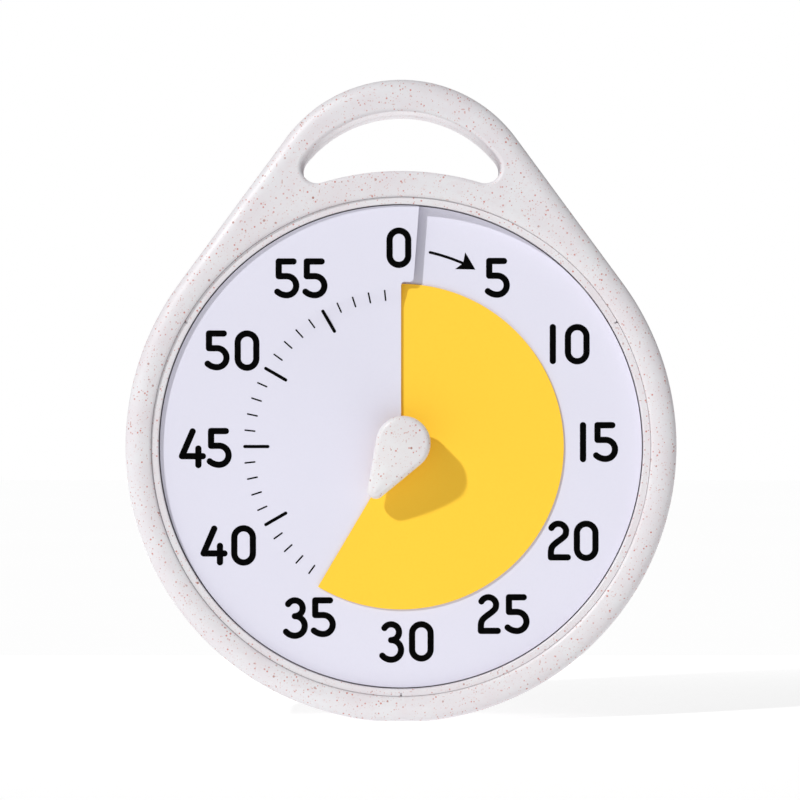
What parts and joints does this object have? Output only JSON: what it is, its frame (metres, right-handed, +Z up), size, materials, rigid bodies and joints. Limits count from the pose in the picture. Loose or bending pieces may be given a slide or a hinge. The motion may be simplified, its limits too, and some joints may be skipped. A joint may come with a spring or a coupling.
{
  "type": "kitchen timer",
  "caption": "Round dial countdown timer with a carrying handle: a pointed knob turns a yellow disc that winds out of a slit in the numbered dial and shows the minutes left.",
  "frame": {"origin": "on the small flat under the case that the timer stands on, midway between its sides, 15 mm behind the front face and level with the middle of the case's depth", "axes": "+Z up, from the foot flat through the dial's axis to the handle; -Y out of the dial towards the user; +X to the user's right when facing the dial"},
  "size_m": [0.1634, 0.0398, 0.1901],
  "materials": {
    "speckled_case": "fine speckle, satin",
    "speckled_back": "fine speckle, satin",
    "speckled_ring": "fine speckle, satin",
    "carrier_plastic": "moulded",
    "dial_sheet": "printed matt sheet",
    "movement_plastic": "moulded",
    "movement_cover_plastic": "moulded",
    "screw_steel": "bright",
    "stator_iron": "stamped",
    "core_iron": "stamped",
    "bobbin_plastic": "moulded",
    "winding_copper": "enamelled copper",
    "contact_bronze": "spring bronze",
    "board_laminate": "lacquered laminate",
    "chip_epoxy": "cast",
    "crystal_can_tin": "tinned",
    "switch_body_plastic": "moulded",
    "buzzer_case_plastic": "moulded",
    "buzzer_brass": "bright",
    "battery_wrap": "printed shrink sleeve over steel",
    "contact_spring_nickel": "nickel plated",
    "contact_nickel": "nickel plated",
    "pin_steel": "drawn",
    "red_insulation": "pvc",
    "black_insulation": "pvc",
    "white_insulation": "pvc",
    "enamelled_copper": "enamelled",
    "speckled_knob": "fine speckle, satin",
    "spindle_nylon": "moulded",
    "spring_steel": "bright",
    "clip_steel": "bright",
    "cam_acetal": "moulded",
    "yellow_sheet": "matt coloured sheet",
    "wheel_acetal": "moulded",
    "third_wheel_acetal": "moulded",
    "second_wheel_acetal": "moulded",
    "rotor_magnet": "sintered magnet on a moulded pinion",
    "speckled_stand": "fine speckle, satin",
    "speckled_door": "fine speckle, satin",
    "slider_plastic": "moulded"
  },
  "bodies": {
    "case": {"front_housing": "speckled_case", "rear_housing": "speckled_back", "dial_ring": "speckled_ring", "dial_carrier": "carrier_plastic", "dial_plate": "dial_sheet", "movement_base": "movement_plastic", "movement_cover": "movement_cover_plastic", "movement_screw_1": "screw_steel", "movement_screw_2": "screw_steel", "movement_screw_3": "screw_steel", "stator": "stator_iron", "coil_core": "core_iron", "coil_bobbin": "bobbin_plastic", "coil_winding": "winding_copper", "zero_contact": "contact_bronze", "circuit_board": "board_laminate", "chip_cover": "chip_epoxy", "crystal_can": "crystal_can_tin", "switch_body": "switch_body_plastic", "buzzer_case": "buzzer_case_plastic", "buzzer_disc": "buzzer_brass", "battery": "battery_wrap", "battery_spring": "contact_spring_nickel", "battery_plate": "contact_nickel", "kickstand_pin": "pin_steel", "housing_screw_1": "screw_steel", "housing_screw_2": "screw_steel", "housing_screw_3": "screw_steel", "housing_screw_4": "screw_steel", "housing_screw_5": "screw_steel", "red_wire": "red_insulation", "black_wire": "black_insulation", "buzzer_wire_1": "white_insulation", "buzzer_wire_2": "white_insulation", "coil_lead_1": "enamelled_copper", "coil_lead_2": "enamelled_copper"},
    "knob_and_spindle": {"knob": "speckled_knob", "spindle": "spindle_nylon", "clutch_spring": "spring_steel", "spindle_clip": "clip_steel", "zero_cam": "cam_acetal"},
    "coloured_disc": {"time_disc": "yellow_sheet"},
    "centre_wheel": {"centre_wheel": "wheel_acetal"},
    "third_wheel": {"third_wheel": "third_wheel_acetal"},
    "second_wheel": {"second_wheel": "second_wheel_acetal"},
    "rotor": {"rotor": "rotor_magnet"},
    "stand": {"kickstand": "speckled_stand"},
    "door": {"battery_door": "speckled_door"},
    "slider": {"volume_slider": "slider_plastic"}
  },
  "joints": [
    {"name": "knob_turn", "type": "hinge", "parent": "case", "child": "knob_and_spindle", "pos_m": [0, 0, 0.0814], "axis": [0, 1, 0], "range_deg": [-210, 150]},
    {"name": "disc_lift", "type": "slide", "parent": "knob_and_spindle", "child": "coloured_disc", "axis": [0, -1, 0], "range_m": [-0.00155, 0.00112]},
    {"name": "third_turn", "type": "hinge", "parent": "case", "child": "third_wheel", "pos_m": [-0.01184, 0, 0.08571], "axis": [0, 1, 0], "continuous": true},
    {"name": "centre_turn", "type": "hinge", "parent": "case", "child": "centre_wheel", "pos_m": [0, 0, 0.0814], "axis": [0, 1, 0], "continuous": true},
    {"name": "second_turn", "type": "hinge", "parent": "case", "child": "second_wheel", "pos_m": [-0.01567, 0, 0.07518], "axis": [0, 1, 0], "continuous": true},
    {"name": "rotor_turn", "type": "hinge", "parent": "case", "child": "rotor", "pos_m": [-0.01087, 0, 0.06687], "axis": [0, 1, 0], "continuous": true},
    {"name": "kickstand_fold", "type": "hinge", "parent": "case", "child": "stand", "pos_m": [0, 0.013, 0.0954], "axis": [1, 0, 0], "range_deg": [0, 42]},
    {"name": "battery_door_lift", "type": "slide", "parent": "case", "child": "door", "axis": [0, 1, 0], "range_m": [0, 0.02]},
    {"name": "volume_slide", "type": "slide", "parent": "case", "child": "slider", "axis": [0, 0, 1], "range_m": [0, 0.004]}
  ],
  "couplings": [
    {"joint": "disc_lift", "follows": "knob_turn", "m_per_rad": 0.0004138},
    {"joint": "centre_turn", "follows": "third_turn", "ratio": -0.16667},
    {"joint": "second_turn", "follows": "third_turn", "ratio": -6},
    {"joint": "rotor_turn", "follows": "third_turn", "ratio": 30}
  ]
}
